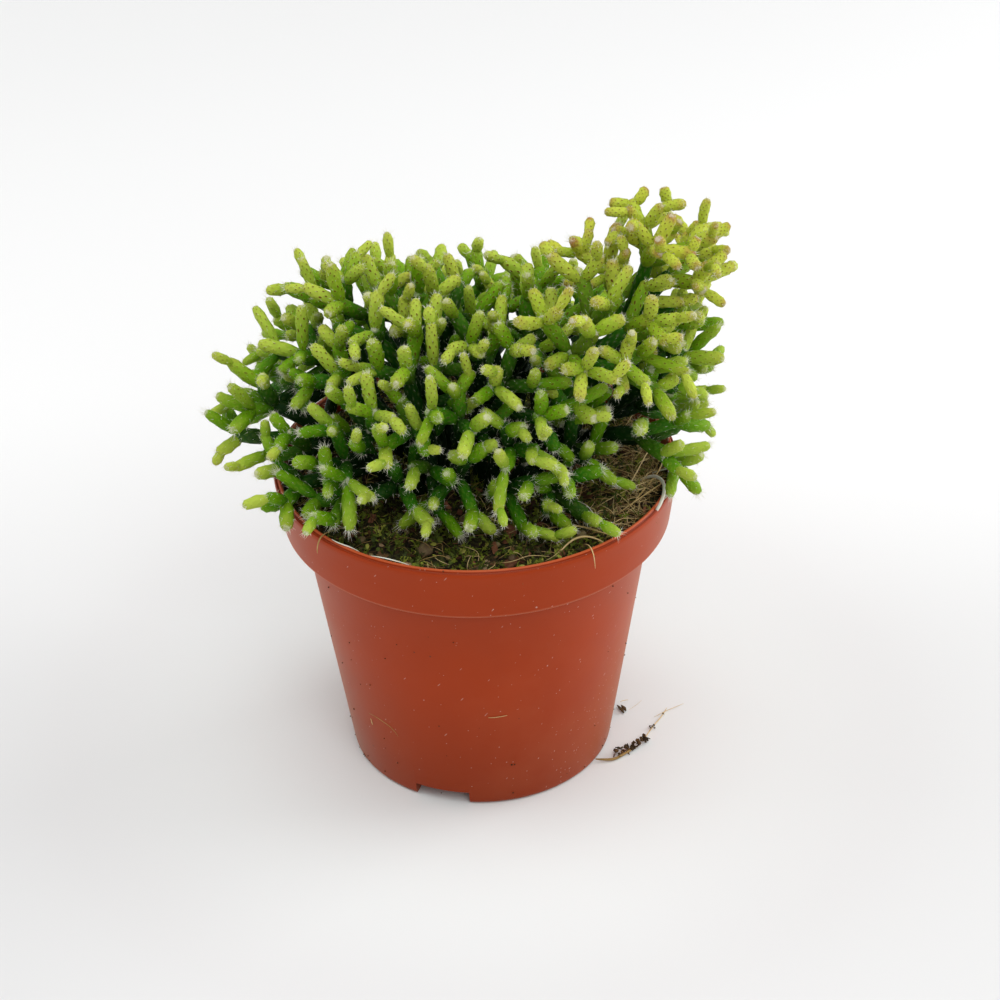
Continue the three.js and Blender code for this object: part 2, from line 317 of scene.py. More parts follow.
def roughened(piece, chosen, strength, size, basis):
    """Pushes the chosen points up and down by a cloud pattern, all sizes in mm."""
    group = piece.vertex_groups.new(name="chosen")
    group.add(chosen, 1.0, "REPLACE")
    pattern = bpy.data.textures.new("lumps", "CLOUDS")
    pattern.noise_scale = size * MM
    pattern.noise_depth = 3
    pattern.noise_basis = basis
    only(piece)
    lumps = piece.modifiers.new("lumps", "DISPLACE")
    lumps.texture = pattern
    lumps.texture_coords = "LOCAL"
    lumps.direction = "Z"
    lumps.vertex_group = group.name
    lumps.mid_level = 0.5
    lumps.strength = strength * MM
    bpy.ops.object.modifier_apply(modifier=lumps.name)
    piece.vertex_groups.clear()


soil_profile = [(38.4, 6.7), (39.1, 6.9), (50.9, 83.1), (56.1, 83.8), (56.9, 92), (SOIL_EDGE, 92.6)]
soil_profile += [(SOIL_EDGE - step, SOIL_TOP - 0.6 * math.exp(-step)) for step in range(1, 57)]
soil = turned("peat_root_ball", soil_profile, SOIL_SIDES)
top = [vertex for vertex in soil.data.vertices if vertex.co.z > 93 * MM]
for vertex in top:
    x, y = vertex.co.x / MM, vertex.co.y / MM
    vertex.co.z += (0.8 * math.sin(0.21 * x + 1.1) * math.cos(0.17 * y - 0.6)) * MM
    vertex.co.z += 0.5 * math.sin(0.33 * x - 0.27 * y) * MM
top = [vertex.index for vertex in top]
for lumps in LUMPS:
    roughened(soil, top, *lumps)
only(soil)
bpy.ops.object.shade_smooth()

peat = Finish("damp_peat", {"IOR": 1.4, "Specular IOR Level": 0.35})
where = peat.place()
coarse = peat.noise(where, 130, 4, 0.6)
crumb = peat.noise(where, 640, 4, 0.7)
colour = peat.ramp(crumb, [
    (0.25, (0.004, 0.003, 0.002)), (0.45, (0.015, 0.010, 0.005)),
    (0.60, (0.050, 0.030, 0.012)), (0.78, (0.130, 0.078, 0.032)),
])
green = peat.between(coarse, 0.42, 0.60) * peat.between(crumb, 0.35, 0.6)
colour = peat.mixed(green * 0.7, colour, (0.050, 0.062, 0.009))
peat.feed(Base_Color=colour, Roughness=0.92 - green * 0.1, Normal=peat.bump(crumb + coarse, 0.9, 0.0009))
soil.data.materials.append(peat.material)
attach(soil, "root")
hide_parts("soil")


# The litter on the peat: crumbs of peat, chips of bark, a few small stones and round seeds.
# They came up with watering and lie loose, pressed a little into the peat.
scatter = random.Random(5)
surface = BVHTree.FromObject(soil, bpy.context.evaluated_depsgraph_get())


def on_peat(x, y, lift=0):
    """The point on the peat's top under x, y, with a lift, all in mm."""
    hit = surface.ray_cast(Vector((x * MM, y * MM, 0.2)), Vector((0, 0, -1)))[0]
    return hit + Vector((0, 0, lift * MM))


def somewhere(likely):
    """A random place on the peat, more often where it is likely, from 0 to 1."""
    while True:
        turn, away = scatter.uniform(0, math.tau), 56.4 * math.sqrt(scatter.random())
        x, y = away * math.cos(turn), away * math.sin(turn)
        if scatter.random() < likely(x, y):
            return x, y


def copied(template, matrix, values=None):
    """A copy of a template with its own mesh, put in place, with its own values on its points."""
    mesh = template.data.copy()
    mesh.transform(matrix)
    for name, value in (values or {}).items():
        layer = mesh.attributes.new(name, "FLOAT", "POINT")
        layer.data.foreach_set("value", np.full(len(mesh.vertices), value, np.float32))
    copy = bpy.data.objects.new(template.name, mesh)
    bpy.context.collection.objects.link(copy)
    return copy


def joined(name, copies):
    only(*copies)
    bpy.ops.object.join()
    piece = bpy.context.object
    piece.name = name
    piece.data.name = name
    return piece


def cleared(templates):
    for template in templates:
        bpy.data.objects.remove(template)


def tumbled(place, sizes):
    """The matrix that drops a template at a place, turned any way, at these sizes."""
    turn = Matrix.Rotation(scatter.uniform(0, math.tau), 4, "Z")
    turn @= Matrix.Rotation(scatter.uniform(-0.6, 0.6), 4, "X")
    turn @= Matrix.Rotation(scatter.uniform(-0.6, 0.6), 4, "Y")
    return Matrix.Translation(place) @ turn @ Matrix.Diagonal((*sizes, 1))


def lump(name, detail, uneven):
    """An uneven closed lump, one mm in radius."""
    bpy.ops.object.select_all(action="DESELECT")
    bpy.ops.mesh.primitive_ico_sphere_add(subdivisions=detail, radius=MM)
    piece = bpy.context.object
    piece.name = name
    for vertex in piece.data.vertices:
        vertex.co *= scatter.uniform(1 - uneven, 1 + uneven)
    return piece


def laid(name, copies, finish, smooth=False):
    """Joins copies into one loose piece on the peat, with its finish and its place in the frame."""
    piece = joined(name, copies)
    piece.data.materials.clear()
    piece.data.materials.append(finish.material)
    if smooth:
        only(piece)
        bpy.ops.object.shade_smooth()
    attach(piece, "root")


CRUMBS = 1500
WALL_CRUMBS = 55
BARK_CHIPS = 190
STONES = 26


def anywhere(x, y):
    return 1


crumb_finish = Finish("peat_crumb", {"IOR": 1.4, "Specular IOR Level": 0.3})
tint = crumb_finish.kept("tint")
grain = crumb_finish.noise(crumb_finish.place(), 900, 3, 0.6)
colour = crumb_finish.ramp(tint * 0.8 + grain * 0.3, [
    (0.1, (0.008, 0.005, 0.003)), (0.4, (0.040, 0.023, 0.010)), (0.65, (0.110, 0.062, 0.025)),
    (0.85, (0.21, 0.10, 0.045)), (1.0, (0.40, 0.30, 0.18)),
])
pitted = crumb_finish.bump(grain, 0.6, 0.0004)
crumb_finish.feed(Base_Color=colour, Roughness=0.8 + grain * 0.15, Normal=pitted)
kinds = [lump("crumb", 1, 0.35) for _ in range(5)]
copies = []
for _ in range(CRUMBS):
    size = scatter.uniform(0.3, 1.0) if scatter.random() < 0.9 else scatter.uniform(1.1, 1.9)
    place = on_peat(*somewhere(anywhere), size * 0.2)
    flat = scatter.uniform(0.5, 0.9)
    sizes = (size, size * scatter.uniform(0.6, 1), size * flat)
    copies.append(copied(scatter.choice(kinds), tumbled(place, sizes), {"tint": scatter.random() ** 1.3}))
for _ in range(WALL_CRUMBS):
    turn = scatter.choice((-2.8, -2.5, -0.1, -0.3, -1.6)) + scatter.gauss(0, 0.3)
    height = 78 * scatter.random() ** 1.3
    away = (40.35 + 0.15 * height) * MM
    size = scatter.uniform(0.1, 0.28)
    place = Vector((away * math.cos(turn), away * math.sin(turn), height * MM))
    copies.append(copied(scatter.choice(kinds), tumbled(place, (size, size, size)), {"tint": 0.35}))
cleared(kinds)
laid("peat_crumbs", copies, crumb_finish)

bark = Finish("bark_chip", {"IOR": 1.4, "Specular IOR Level": 0.35})
fibres = bark.noise(bark.stretched(bark.place(), (1, 1, 3)), 700, 3, 0.6)
colour = bark.ramp(bark.kept("tint") * 0.6 + fibres * 0.5, [
    (0.2, (0.024, 0.011, 0.006)), (0.55, (0.105, 0.036, 0.016)), (0.9, (0.30, 0.12, 0.060)),
])
bark.feed(Base_Color=colour, Roughness=0.6 + fibres * 0.25, Normal=bark.bump(fibres, 0.5, 0.0004))
kinds = []
for _ in range(4):
    bpy.ops.object.select_all(action="DESELECT")
    bpy.ops.mesh.primitive_cube_add(size=2 * MM)
    bpy.ops.object.mode_set(mode="EDIT")
    bpy.ops.mesh.subdivide(number_cuts=1)
    bpy.ops.object.mode_set(mode="OBJECT")
    kinds.append(bpy.context.object)
    for vertex in kinds[-1].data.vertices:
        vertex.co *= scatter.uniform(0.65, 1.1) / (1 + 0.35 * (vertex.co.length / MM - 1))
copies = []
for _ in range(BARK_CHIPS):
    size = scatter.uniform(0.8, 2.5)
    place = on_peat(*somewhere(lambda x, y: 1 if x > 5 and y < 0 else 0.5), scatter.uniform(0.3, 1.2))
    sizes = (size, size * scatter.uniform(0.35, 0.8), size * scatter.uniform(0.12, 0.3))
    copies.append(copied(scatter.choice(kinds), tumbled(place, sizes), {"tint": scatter.random()}))
cleared(kinds)
laid("bark_chips", copies, bark)

stone = Finish("small_stone", {"IOR": 1.5, "Specular IOR Level": 0.35})
veins = stone.noise(stone.place(), 620, 4, 0.65)
colour = stone.ramp(veins * 0.7 + stone.kept("tint") * 0.4, [
    (0.2, (0.030, 0.020, 0.010)), (0.55, (0.105, 0.064, 0.030)), (0.85, (0.19, 0.145, 0.062)),
    (1.0, (0.33, 0.34, 0.15)),
])
stone.feed(Base_Color=colour, Roughness=0.65 + veins * 0.2, Normal=stone.bump(veins, 0.5, 0.0004))
kinds = [lump("pebble", 2, 0.16) for _ in range(3)]
copies = []
pebbles = [(-14.6, -42.5, 2.5), (-1.8, -49, 1.6), (-33, -36, 1.5), (30, -38, 1.7), (40, -20, 1.4)]
pebbles.append((10, -47, 1.3))
pebbles += [(*somewhere(anywhere), scatter.uniform(0.8, 1.9)) for _ in range(STONES)]
for x, y, size in pebbles:
    sizes = (size, size * scatter.uniform(0.75, 1), size * scatter.uniform(0.6, 0.8))
    values = {"tint": scatter.random()}
    copies.append(copied(scatter.choice(kinds), tumbled(on_peat(x, y, size * 0.5 + 0.4), sizes), values))
SEEDS = [(-20, -34), (-17, -40), (-30, -44), (20, -45), (6, -40), (36, -30), (47, -8), (-8, -46), (28, -30)]
for x, y in SEEDS:
    size = scatter.uniform(0.6, 0.9)
    copies.append(copied(kinds[0], tumbled(on_peat(x, y, 1.1), (size, size, size)), {"tint": 1.2}))
cleared(kinds)
laid("pebbles_and_seeds", copies, stone, smooth=True)


# The moss: sprigs of small pointed leaves round short stalks, and low round leaflets
# between them. It grew over the damp peat, thickest at the front and in the middle.
def frame_on(start, way, roll, scales):
    """The matrix that puts an upright template at a start, along a way, rolled and scaled."""
    turn = Vector(way).to_track_quat("Z", "Y").to_matrix().to_4x4()
    turn = Matrix.Translation(start) @ turn @ Matrix.Rotation(roll, 4, "Z")
    return turn @ Matrix.Diagonal((*scales, 1))


def spike(name, radius):
    """A three-sided spike one mm long that stands at the origin."""
    bpy.ops.object.select_all(action="DESELECT")
    cone = {"vertices": 3, "radius1": radius * MM, "radius2": 0, "depth": MM, "location": (0, 0, MM / 2)}
    bpy.ops.mesh.primitive_cone_add(**cone)
    bpy.ops.object.transform_apply(location=True, rotation=True, scale=True)
    bpy.context.object.name = name
    return bpy.context.object


def mossy(x, y):
    """How likely moss is at a place: in patches, and less in the straw at the right edge."""
    patch = 0.5 + 0.5 * math.sin(0.42 * x + 0.8 + 1.5 * math.sin(0.2 * y)) * math.cos(0.37 * y + 0.4)
    return (0.2 + 0.8 * patch ** 1.5) * (0.5 if x > 45 else 1) * (0.7 if x < -38 else 1)


SPRIGS = 2500
LEAFLETS = 900
soft_leaf = {"Subsurface Weight": 0.1, "Subsurface Radius": (0.5, 0.8, 0.2), "Subsurface Scale": 0.8 * MM}
moss = Finish("moss_leaf", {"IOR": 1.4, "Specular IOR Level": 0.35, **soft_leaf})
patchy = moss.noise(moss.place(), 210, 3, 0.6)
colour = moss.ramp(moss.kept("tint") * 0.75 + patchy * 0.4, [
    (0.15, (0.050, 0.034, 0.010)), (0.4, (0.036, 0.052, 0.007)), (0.65, (0.100, 0.134, 0.010)),
    (0.85, (0.195, 0.232, 0.022)), (1.0, (0.38, 0.35, 0.075)),
])
moss.feed(Base_Color=colour, Roughness=0.55 + patchy * 0.2, Normal=moss.bump(patchy, 0.3, 0.0003))
leaflet = spike("leaflet", 0.42)
kinds = []
for _ in range(4):
    parts = [copied(leaflet, Matrix.Diagonal((0.5, 0.5, 3.6, 1)))]
    for k in range(6):
        turn = 2.4 * k + scatter.uniform(-0.4, 0.4)
        way = (math.cos(turn), math.sin(turn), scatter.uniform(0.3, 1.1))
        size = (1, 0.35, scatter.uniform(0.9, 1.6) * (1 - k / 20))
        parts.append(copied(leaflet, frame_on((0, 0, (0.4 + 0.48 * k) * MM), way, 1.57, size)))
    kinds.append(joined("sprig", parts))
copies = []
for _ in range(SPRIGS):
    x, y = somewhere(mossy)
    place = on_peat(x, y, scatter.uniform(-0.8, 0.8) + (1 if x > 36 else 0))
    way = (scatter.uniform(-1.1, 1.1), scatter.uniform(-1.1, 1.1), 0.7)
    size = scatter.uniform(0.55, 1.4)
    matrix = frame_on(place, way, scatter.uniform(0, math.tau), (size, size, size))
    copies.append(copied(scatter.choice(kinds), matrix, {"tint": scatter.random()}))
bpy.ops.object.select_all(action="DESELECT")
bpy.ops.mesh.primitive_uv_sphere_add(segments=8, ring_count=4, radius=MM)
disc = bpy.context.object
for _ in range(LEAFLETS):
    size = scatter.uniform(0.4, 1.25)
    place = on_peat(*somewhere(mossy), scatter.uniform(0.3, 1.5))
    values = {"tint": scatter.uniform(0.2, 1.05)}
    copies.append(copied(disc, tumbled(place, (size, size * scatter.uniform(0.6, 1), size * 0.22)), values))
cleared([leaflet, disc, *kinds])
laid("moss", copies, moss)


# The fibres: straw-like stalks and roots in the peat, a mat of them along the right. Some
# lie across the lip, and one stout pale root loops out over it.
def strand(name, route, radius, sides=3):
    """A closed thin strand along a smooth route in mm, pointed at its ends."""
    line = bpy.data.curves.new(name, "CURVE")
    line.dimensions = "3D"
    line.bevel_depth = radius * MM
    line.bevel_resolution = 0 if sides == 3 else 2
    line.use_fill_caps = True
    line.resolution_u = 2 if sides == 3 else 6
    spline = line.splines.new("NURBS")
    spline.points.add(len(route) - 1)
    for k, (point, place) in enumerate(zip(spline.points, route)):
        point.co = (*[c * MM for c in place], 1)
        point.radius = 0.45 if k in (0, len(route) - 1) else 1
    spline.use_endpoint_u = True
    spline.order_u = 4
    piece = bpy.data.objects.new(name, line)
    bpy.context.collection.objects.link(piece)
    only(piece)
    bpy.ops.object.convert(target="MESH")
    bpy.ops.object.mode_set(mode="EDIT")
    bpy.ops.mesh.select_all(action="SELECT")
    bpy.ops.mesh.remove_doubles(threshold=0.002 * MM)
    bpy.ops.mesh.normals_make_consistent(inside=False)
    bpy.ops.object.mode_set(mode="OBJECT")
    return bpy.context.object


def wandering(long, bend):
    """A route that lies along X, bends as it goes and arches a little."""
    route, heading, x, y = [], scatter.uniform(-0.3, 0.3), 0.0, 0.0
    for k in range(6):
        route.append((x, y, 1.3 * math.sin(math.pi * k / 5) * scatter.random()))
        heading += scatter.uniform(-bend, bend)
        x += long / 5 * math.cos(heading)
        y += long / 5 * math.sin(heading)
    return route


def strawy(x, y):
    """How likely straw is at a place: a mat at the right edge, thinner beside it."""
    if x > 26 and -38 < y < 30:
        return 1 if x > 45 else 0.35
    return 0.14 if x < -30 else 0.07


FIBRES = 1450
FIBRE_RADIUS = 0.09
straw = Finish("straw_fibre", {"IOR": 1.45, "Specular IOR Level": 0.35})
streak = straw.noise(straw.place(), 500, 2)
colour = straw.ramp(straw.kept("tint") * 0.85 + streak * 0.25, [
    (0.1, (0.045, 0.024, 0.010)), (0.4, (0.17, 0.092, 0.030)), (0.7, (0.42, 0.27, 0.085)),
    (1.0, (0.86, 0.65, 0.33)),
])
straw.feed(Base_Color=colour, Roughness=0.5 + streak * 0.25, Normal=straw.bump(streak, 0.3, 0.0002))
kinds = [strand("fibre", wandering(scatter.uniform(7, 15), 0.7), FIBRE_RADIUS) for _ in range(8)]
copies = []
for _ in range(FIBRES):
    x, y = somewhere(strawy)
    size = scatter.uniform(0.45, 1.1)
    heading = math.atan2(y, x) + 1.57 + scatter.uniform(-1.3, 1.3)
    reach = Vector((math.cos(heading), math.sin(heading))) * 11 * size
    if math.hypot(x + reach.x, y + reach.y) > 57:
        x, y = x - reach.x, y - reach.y
    if math.hypot(x, y) > 56:
        continue
    turn = Matrix.Rotation(heading, 4, "Z") @ Matrix.Rotation(scatter.uniform(-0.2, 0.05), 4, "Y")
    thick = scatter.uniform(0.7, 1.7)
    matrix = Matrix.Translation(on_peat(x, y, scatter.uniform(0.2, 2.8 if x > 34 else 1.5))) @ turn
    matrix @= Matrix.Diagonal((size, size, size * thick, 1))
    kind = scatter.choice(kinds)
    pale = scatter.uniform(0.3, 1.3) if x > 34 else scatter.uniform(0, 1)
    copies.append(copied(kind, matrix, {"tint": pale}))
cleared(kinds)
LONG_STRAWS = [
    ([(56.4, -1.2, 101), (54.6, -8.4, 99), (51.4, -13, 98.2), (48, -18.5, 97), (44, -24, 95.5)], 0.26, 0.75),
    ([(54.6, -17.6, 100.4), (50, -20, 98.6), (46, -22.4, 97), (41, -25.5, 95)], 0.24, 0.8),
    ([(54, 9, 98.5), (51.5, 2, 99.6), (49, -6, 99.8), (45.5, -14, 98.6), (42, -21, 96.6)], 0.17, 0.95),
    ([(53.5, -13, 99.2), (47, -17, 99.4), (41, -20, 98.4), (35, -24, 96.4)], 0.14, 0.95),
    ([(40, -4, 97), (44, -8, 98.6), (49.5, -13, 99.2), (53, -19, 98.4)], 0.12, 0.85),
    ([(37, -14, 96.8), (41, -18, 98.2), (44, -24, 98.6), (46.5, -30, 97.6)], 0.12, 0.9),
    ([(18, -33, 95), (23.8, -35, 97.5), (30, -35, 98), (34, -38.5, 98), (39.4, -40, 97)], 0.25, 0.8),
    ([(22.5, -47.5, 95.5), (26, -43, 97.4), (29, -41, 98), (33, -41, 98), (36.5, -42.6, 96.5)], 0.3, 0.9),
    ([(30.5, -43, 96.5), (31.6, -47.5, 99.7), (32.6, -50.2, 99.9), (33.3, -51.4, 97.5),
      (33.5, -50.9, 93.5)], 0.16, 0.85),
    ([(-41, -33, 96.5), (-43.4, -39.8, 99.9), (-44.6, -42.2, 99.9), (-45.4, -42.6, 97),
      (-45.4, -41.8, 94.5)], 0.2, 0.7),
    ([(2.2, -45.95, 37.3), (3.9, -45.8, 37.1), (5.6, -45.7, 37.3), (7.8, -45.4, 37.6)], 0.13, 0.8),
    ([(-34, -28.4, 26.4), (-31.8, -31.1, 27.2), (-29, -33.5, 26.3), (-26.6, -35.3, 25.8),
      (-25.2, -35.9, 23.2)], 0.07, 0.7),
    ([(-33.6, -28.4, 24.4), (-33.2, -29.1, 23.6), (-33.4, -28.4, 22.8), (-33, -28.7, 22.2)], 0.14, 0.9),
]
for route, radius, tint in LONG_STRAWS:
    piece = strand("straw", route, radius, 8)
    copies.append(copied(piece, Matrix(), {"tint": tint}))
    cleared([piece])
laid("fibres", copies, straw, smooth=True)

soft_root = {"Subsurface Weight": 0.15, "Subsurface Scale": 0.6 * MM}
pale_root = Finish("pale_root", {"IOR": 1.42, "Specular IOR Level": 0.4, **soft_root})
cloudy = pale_root.noise(pale_root.place(), 350, 3)
colour = pale_root.mixed(cloudy, (0.86, 0.85, 0.78), (0.62, 0.59, 0.48))
pale_root.feed(Base_Color=colour, Roughness=0.45 + cloudy * 0.2, Normal=pale_root.bump(cloudy, 0.3, 0.0003))
PALE_ROOTS = [
    ([(47, -9, 95), (50.9, -10.2, 98.2), (53.4, -13.6, 100), (54.8, -18.4, 101), (54.6, -23.1, 101.3),
      (54, -27, 100.8), (52, -29.5, 98), (50, -29, 95)], 0.5),
    ([(52, -8, 97.5), (55.5, -8.4, 99.2), (58.6, -9, 99.9)], 0.3),
    ([(-41, -42, 99.3), (-38.6, -45.6, 99.9), (-35.6, -45.4, 99.2), (-33.2, -46.6, 98)], 0.22),
    ([(-30.4, -49.6, 98.6), (-26, -52, 99.7), (-22, -54.2, 99.7), (-19, -54, 98.2)], 0.22),
    ([(30, -22, 97), (33, -26, 99), (33.6, -30, 98), (36, -33, 96)], 0.18),
]
copies = [strand("root", route, radius, 8) for route, radius in PALE_ROOTS]
laid("pale_roots", copies, pale_root, smooth=True)


# A root that broke off under the foot of the pot and lies beside it, with clods of peat on
# it, a torn bark chip, and a few root hairs.
LOOSE_ROOTS = [
    ([(34.9, -21.4, 1.3), (37, -21.3, 1), (40.3, -21.2, 0.6), (42.2, -19.8, 0.7), (45, -17.6, 0.9),
      (47.6, -15.6, 1)], 0.4),
    ([(50.2, -12.2, 1), (51.2, -9.8, 0.7), (52.7, -6.1, 0.5), (54.6, -3, 0.5), (57.4, 1.7, 0.5),
      (58.5, 4.9, 0.4)], 0.16),
    ([(54.3, 0.6, 0.2), (56.2, 1.6, 0.5), (58.4, 3.3, 0.7), (61, 4.9, 0.5), (64, 7.2, 0.2)], 0.08),
    ([(43.9, 7.4, 1.3), (45, 8.4, 1.2), (46.5, 9.2, 0.6)], 0.12),
    ([(46.5, 4.5, 0.2), (48.8, 6.6, 0.3), (50.8, 9.3, 0.2)], 0.05),
]
CLODS = [
    (41.4, -17.6, 1.4), (42.6, -19, 0.9), (43.6, -16.8, 1.1), (44.8, -15.9, 1.3), (46.3, -15.4, 1),
    (47.6, -14.9, 1.5), (48.9, -13.5, 1.3), (50.2, -12.2, 1.5), (51.4, -11.5, 0.8), (45.4, -18.1, 0.5),
    (40.7, -19, 0.5), (52.9, -5.2, 0.6), (53.9, -4.3, 0.5), (54, -5.6, 0.4), (57.3, 1.6, 0.4),
]
BITS_A_CLOD = 9
copies = []
for route, radius in LOOSE_ROOTS:
    piece = strand("root", route, radius, 8)
    copies.append(copied(piece, Matrix(), {"tint": 0.55 if radius > 0.3 else 0.85}))
    cleared([piece])
laid("loose_roots", copies, straw, smooth=True)
kinds = [lump("clod", 1, 0.4) for _ in range(5)]
copies = []
for x, y, size in CLODS:
    for _ in range(BITS_A_CLOD):
        bit = size * scatter.uniform(0.22, 0.62)
        off = [scatter.gauss(0, 0.42) * size for _ in range(3)]
        place = Vector((x + off[0], y + off[1], max(size * 0.75 + off[2], bit) + 0.35)) * MM
        sizes = (bit, bit * scatter.uniform(0.5, 0.9), bit * scatter.uniform(0.5, 0.8))
        kind = scatter.choice(kinds)
        matrix = tumbled(place, sizes)
        copies.append(copied(kind, matrix, {"tint": scatter.uniform(0.1, 0.75)}))
torn = Matrix.Translation((44.3 * MM, 4.6 * MM, 0.9 * MM)) @ Matrix.Rotation(-1.1, 4, "Z")
for aside, size in ((-0.5, 2.7), (0.6, 1.9)):
    matrix = torn @ Matrix.Translation((0, aside * MM, 0)) @ Matrix.Diagonal((size, 0.45, 0.6, 1))
    copies.append(copied(kinds[0], matrix, {"tint": 0.55}))
cleared(kinds)
laid("root_clods", copies, crumb_finish)


# The plant's framework: cuttings rooted close together, each a trunk that forks into boughs
# of stacked segments, with whorls of arms and tips at their ends. It grows here by the same
# rule and seed as the solids, so that each fine shoot lies where its plain one does.
state = 46
BEAD_STEP = 2.4
REACH = 24
CLEARANCE = 0.45
SOIL_LEVEL = 95
LOWEST = 72
LEFTMOST, RIGHTMOST, TOPMOST = -80, 76, 177
BOUGH_TRIES = 80
WHORL_TRIES = 9
SUNK = 1.1
SEGMENT_LENGTH = 28
TRUNK_RADIUS = 2.8
BOUGH_RADIUS = 2.5
ARM = (2.5, 13, 1)
TIP = (2.3, 11, 1.05)
CROWN = np.array((-2.0, 8, 108))
STEMS = {
    "left_edge": (14, (-60, 0, 120), (-50, -12, 110)),
    "left_upper": (20, (-47, 8, 131), (-38, 18, 141)),
    "left_low": (12, (-52, -20, 104), (-38, -24, 114)),
    "left_front": (8, (-39, -30, 106), (-22, -31, 111)),
    "front_left": (18, (-30, -24, 124), (-38, -9, 133)),
    "front_a": (22, (-18, -28, 127), (-19, -17, 139), (-13, -31, 114)),
    "front_b": (18, (-4, -30, 132), (-5, -33, 113)),
    "front_c": (14, (11, -30, 122), (9, -31, 107)),
    "front_d": (28, (9, -22, 138), (2, -10, 142), (20, -27, 128)),
    "front_right": (8, (23, -28, 105), (29, -16, 112)),
    "mid_left": (28, (-28, 0, 141), (-10, -12, 140)),
    "right_star": (46, (27, -22, 147), (35, -8, 151), (46, -8, 148), (43, -20, 140)),
    "right_tall": (42, (50, 2, 151), (51, 6, 162), (57, 8, 156)),
    "right_arm": (20, (52, -8, 130), (57, 8, 132)),
    "right_droop": (16, (48, -17, 117), (52, -9, 110)),
    "top_left": (30, (-31, 13, 143), (-18, 4, 142)),
    "top_mid": (28, (-20, 20, 139), (-7, 13, 140)),
    "top_right": (28, (4, 10, 137), (21, 13, 136), (17, 0, 140)),
    "back_left": (20, (-42, 32, 124), (-53, 22, 111)),
    "back_low": (12, (-36, 45, 108), (-15, 54, 110)),
    "back_a": (24, (-25, 35, 129), (-5, 38, 130)),
    "back_b": (16, (0, 47, 121), (11, 55, 110)),
    "back_c": (24, (17, 35, 128), (33, 32, 126)),
    "back_right": (16, (34, 45, 112), (50, 26, 114)),
}

beads = {"at": np.zeros((20000, 3)), "radius": np.zeros(20000), "owner": np.zeros(20000, int), "count": 0}
shoots = []


class Shoot:
    """One shoot from a to b, in mm. Its order is 0 on a bough, 1 for an arm, 2 for a tip, 3 for a bud."""

    def __init__(self, a, b, radius, stem, order, parent=None):
        self.a, self.b, self.radius = a, b, radius
        self.stem, self.order, self.kids = stem, order, []
        self.index = len(shoots)
        shoots.append(self)
        if parent is not None:
            parent.kids.append(self.index)
        for place in beads_of(a, b):
            beads["at"][beads["count"]] = place
            beads["radius"][beads["count"]] = radius
            beads["owner"][beads["count"]] = self.index
            beads["count"] += 1

    def way(self):
        return unit(self.b - self.a)


def draw(low, high):
    global state
    state = (state * 1664525 + 1013904223) % 4294967296
    return low + (high - low) * state / 4294967296


def jitter(by):
    return np.array((draw(-by, by), draw(-by, by), draw(-by, by)))


def span(v):
    return math.sqrt(v[0] * v[0] + v[1] * v[1] + v[2] * v[2])


def unit(v):
    return v * (1 / span(v))


def beads_of(a, b):
    count = max(3, math.ceil(span(b - a) / BEAD_STEP))
    return np.array([a + (b - a) * (0.14 + 0.78 * k / (count - 1)) for k in range(count)])


def clear_of_pot(row, radius):
    """Over the soil, over the rim, or outside the pot and above its waist, and no wider than the plant."""
    for x, y, z in row:
        if not LEFTMOST < x < RIGHTMOST or z > TOPMOST:
            return False
        away = math.hypot(x, y)
        if away < RIM_RADIUS - 8:
            floor_height = SOIL_LEVEL + radius + 1
        elif away < RIM_RADIUS + radius + 1:
            floor_height = POT_HEIGHT + radius + 0.6
        else:
            floor_height = LOWEST
        if z < floor_height:
            return False
    return True


def room_around(row, radius, kin):
    """Free distance round a row of beads, and round the bead at its tip."""
    count = beads["count"]
    others = np.ones(count, bool)
    for relative in kin:
        others &= beads["owner"][:count] != relative
    if not others.any():
        return REACH, REACH
    gaps = np.sqrt(((row[:, None] - beads["at"][:count][others]) ** 2).sum(2))
    gaps = (gaps - radius - beads["radius"][:count][others]).min(1)
    return min(REACH, gaps.min()), min(REACH, gaps[-1])


def inside_tip(a, b, radius):
    """The point inside a shoot's tip where what grows out of it starts."""
    return b + unit(b - a) * (-SUNK * radius)


def grow_bough(stem, a, b, radius, parent, kin):
    """Segments along a rising bow from a to near b, bent until they are clear."""
    for attempt in range(BOUGH_TRIES):
        stray = min(8, attempt * 0.12)
        end = b + jitter(stray) * 0.5
        bow = a + (end - a) * 0.35
        bow[2] = a[2] + (end[2] - a[2]) * 0.6 + 4
        bow = bow + jitter(stray)
        count = max(1, math.floor(span(end - a) / SEGMENT_LENGTH + 0.15 + 0.5))
        ways = [k / count for k in range(count + 1)]
        joints = [(1 - t) * (1 - t) * a + 2 * (1 - t) * t * bow + t * t * end for t in ways]
        starts = [a] + [inside_tip(*joints[k:k + 2], radius) for k in range(count - 1)]
        segments = list(zip(starts, joints[1:]))
        rows = [beads_of(*segment) for segment in segments]
        clear = True
        for k, row in enumerate(rows):
            buried = parent is None and k == 0
            clear = clear and (buried or clear_of_pot(row, radius))
            clear = clear and room_around(row, radius, kin)[0] >= CLEARANCE
        if clear:
            grown = []
            for start, joint in segments:
                parent = Shoot(start, joint, radius, stem, 0, parent)
                grown.append(parent)
            return grown
    return []


def leaned(axis, lean, turn):
    """A direction leaned off an axis, then turned about it."""
    side = (0, 0, 1) if abs(axis[2]) < 0.9 else (1, 0, 0)
    across = unit(np.cross(axis, side))
    beside = np.cross(axis, across)
    tilt = math.sin(lean)
    return axis * math.cos(lean) + across * (tilt * math.cos(turn)) + beside * (tilt * math.sin(turn))


